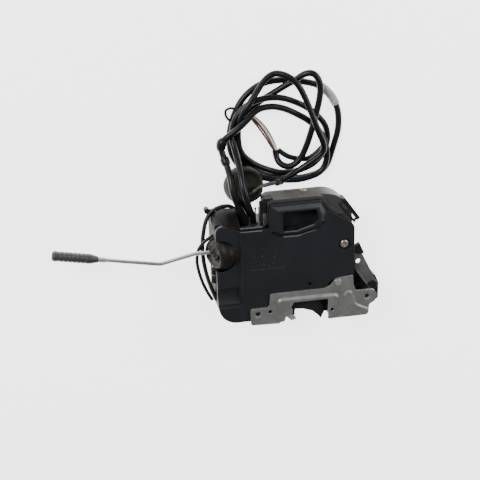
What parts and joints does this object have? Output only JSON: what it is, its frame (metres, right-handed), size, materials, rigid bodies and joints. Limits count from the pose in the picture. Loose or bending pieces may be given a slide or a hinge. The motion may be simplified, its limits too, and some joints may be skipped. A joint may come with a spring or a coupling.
{
  "type": "door latch actuator",
  "caption": "Vehicle door latch with fork bolt, pawl, release lever, motor-driven lock rod and coiled cables",
  "frame": {"origin": "on the flat back face of the housing that it lies on, below the middle of the front cover", "axes": "+Z out of the front cover, +Y towards the cable exit, lock rod leaves towards -X"},
  "size_m": [0.2878, 0.2205, 0.047],
  "materials": {
    "black_plastic": "fine moulded texture, satin",
    "boot_rubber": "moulded rubber, dusty",
    "brass_yellow": "passivated",
    "cable_pvc": "smooth cable jacket, semi-gloss",
    "claw_steel": "ground steel",
    "clip_steel": "bright spring steel",
    "gear_plastic": "natural acetal",
    "grey_plastic": "fine moulded texture, satin, slightly brown",
    "knob_plastic": "moulded, semi-matt",
    "latch_steel": "satin zinc-plated pressed steel",
    "motor_can": "bright plated can",
    "pin_steel": "turned, zinc plated",
    "rod_steel": "zinc-plated wire"
  },
  "bodies": {
    "case": {"rear_housing": "grey_plastic", "front_cover": "black_plastic", "latch_body": "black_plastic", "latch_plate": "latch_steel", "back_plate": "latch_steel", "fork_pin": "pin_steel", "pawl_rivet": "pin_steel", "lever_pin": "pin_steel", "wheel_pin": "pin_steel", "motor": "motor_can", "door_switch": "black_plastic", "contact_carrier": "black_plastic", "cover_screw": "brass_yellow", "threaded_insert": "brass_yellow", "corner_cap": "black_plastic", "side_clip": "black_plastic", "cover_clip": "black_plastic", "rod_boot": "boot_rubber", "cable_boot": "boot_rubber", "harness_clip": "clip_steel", "lead_clip": "black_plastic", "side_lead": "cable_pvc", "thin_lead": "cable_pvc", "harness_lead": "cable_pvc", "harness_coil": "cable_pvc", "bowden_lead": "cable_pvc", "bowden_coil": "cable_pvc", "bowden_tail": "cable_pvc", "bowden_ferrule": "clip_steel", "bowden_core": "clip_steel"},
    "fork": {"fork_bolt": "claw_steel", "fork_cover": "black_plastic"},
    "pawl": {"pawl": "claw_steel"},
    "lever": {"release_lever": "latch_steel", "lever_cap": "black_plastic"},
    "lock_rod": {"lock_rod": "rod_steel", "rod_collar": "rod_steel", "rod_knob": "knob_plastic", "lock_slider": "gear_plastic"},
    "wheel": {"worm_wheel": "gear_plastic"},
    "worm": {"motor_worm": "rod_steel"}
  },
  "joints": [
    {"name": "fork_turn", "type": "hinge", "parent": "case", "child": "fork", "pos_m": [-0.016, -0.038, 0.0355], "axis": [0, 0, 1], "range_deg": [0, 32], "stiffness_Nm_per_rad": 0.2, "springref_deg": -20.05},
    {"name": "pawl_turn", "type": "hinge", "parent": "case", "child": "pawl", "pos_m": [0.0347, -0.0225, 0.036], "axis": [0, 0, 1], "range_deg": [0, 14], "stiffness_Nm_per_rad": 0.06, "springref_deg": -20.05},
    {"name": "lever_turn", "type": "hinge", "parent": "case", "child": "lever", "pos_m": [0.0705, -0.0335, 0.031], "axis": [0, 0, 1], "range_deg": [-18, 0], "stiffness_Nm_per_rad": 0.06, "springref_deg": 20.05},
    {"name": "lock_slide", "type": "slide", "parent": "case", "child": "lock_rod", "axis": [-1, 0, 0], "range_m": [0, 0.0115]},
    {"name": "wheel_turn", "type": "hinge", "parent": "case", "child": "wheel", "pos_m": [-0.022, 0.004, 0.016], "axis": [0, 0, 1], "range_deg": [0, 70.1]},
    {"name": "worm_turn", "type": "hinge", "parent": "case", "child": "worm", "pos_m": [-0.022, 0.0205, 0.016], "axis": [1, 0, 0], "continuous": true}
  ],
  "couplings": [
    {"joint": "wheel_turn", "follows": "lock_slide", "rad_per_m": 106.23},
    {"joint": "worm_turn", "follows": "lock_slide", "rad_per_m": -1593.5}
  ]
}
